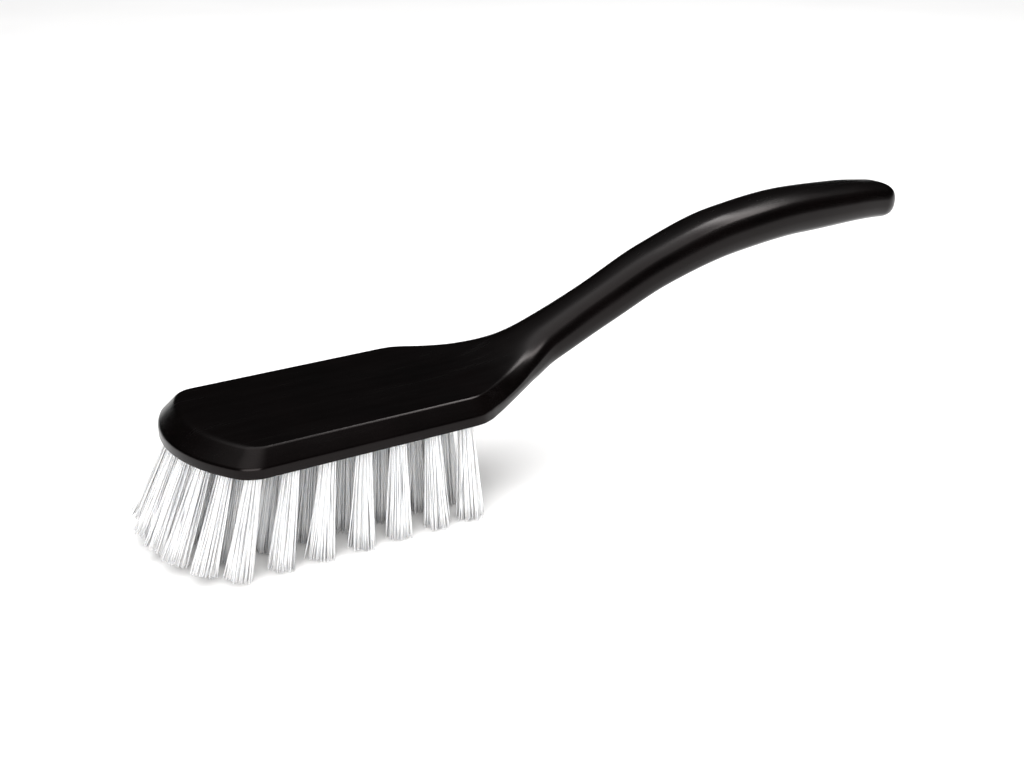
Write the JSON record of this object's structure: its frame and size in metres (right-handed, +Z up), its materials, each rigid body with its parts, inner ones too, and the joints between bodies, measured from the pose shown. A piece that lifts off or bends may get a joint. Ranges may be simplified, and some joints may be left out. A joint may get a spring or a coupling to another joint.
{
  "type": "wheel brush",
  "caption": "Hand wheel-washing brush: a flat black block with faceted sides and a curved handle, staple-set with tufts of translucent white bristle.",
  "frame": {"origin": "on the plane of the bristle tips, at the foot of the middle tuft, under the middle of the tuft field", "axes": "+X along the handle, away from the nose; +Z up from the bristle tips to the block's flat top; +Y to the right of a hand that holds the brush nose forward"},
  "size_m": [0.285, 0.0612, 0.0744],
  "materials": {
    "moulding": "black injection-moulded polypropylene, semi-gloss with a very fine grain",
    "bristle": "translucent white crimp-free filament, tips trimmed flat",
    "anchor_wire": "bright flat steel wire"
  },
  "bodies": {
    "root": {"brush_body": "moulding", "tuft_anchors": "anchor_wire", "tuft_centre_1": "bristle", "tuft_centre_2": "bristle", "tuft_centre_3": "bristle", "tuft_centre_4": "bristle", "tuft_centre_5": "bristle", "tuft_centre_6": "bristle", "tuft_centre_7": "bristle", "tuft_left_inner_1": "bristle", "tuft_left_inner_2": "bristle", "tuft_left_inner_3": "bristle", "tuft_left_inner_4": "bristle", "tuft_left_inner_5": "bristle", "tuft_left_inner_6": "bristle", "tuft_left_inner_7": "bristle", "tuft_left_outer_1": "bristle", "tuft_left_outer_2": "bristle", "tuft_left_outer_3": "bristle", "tuft_left_outer_4": "bristle", "tuft_left_outer_5": "bristle", "tuft_left_outer_6": "bristle", "tuft_left_outer_7": "bristle", "tuft_nose_1": "bristle", "tuft_nose_2": "bristle", "tuft_nose_3": "bristle", "tuft_nose_4": "bristle", "tuft_nose_5": "bristle", "tuft_right_inner_1": "bristle", "tuft_right_inner_2": "bristle", "tuft_right_inner_3": "bristle", "tuft_right_inner_4": "bristle", "tuft_right_inner_5": "bristle", "tuft_right_inner_6": "bristle", "tuft_right_inner_7": "bristle", "tuft_right_outer_1": "bristle", "tuft_right_outer_2": "bristle", "tuft_right_outer_3": "bristle", "tuft_right_outer_4": "bristle", "tuft_right_outer_5": "bristle", "tuft_right_outer_6": "bristle", "tuft_right_outer_7": "bristle"}
  },
  "joints": []
}
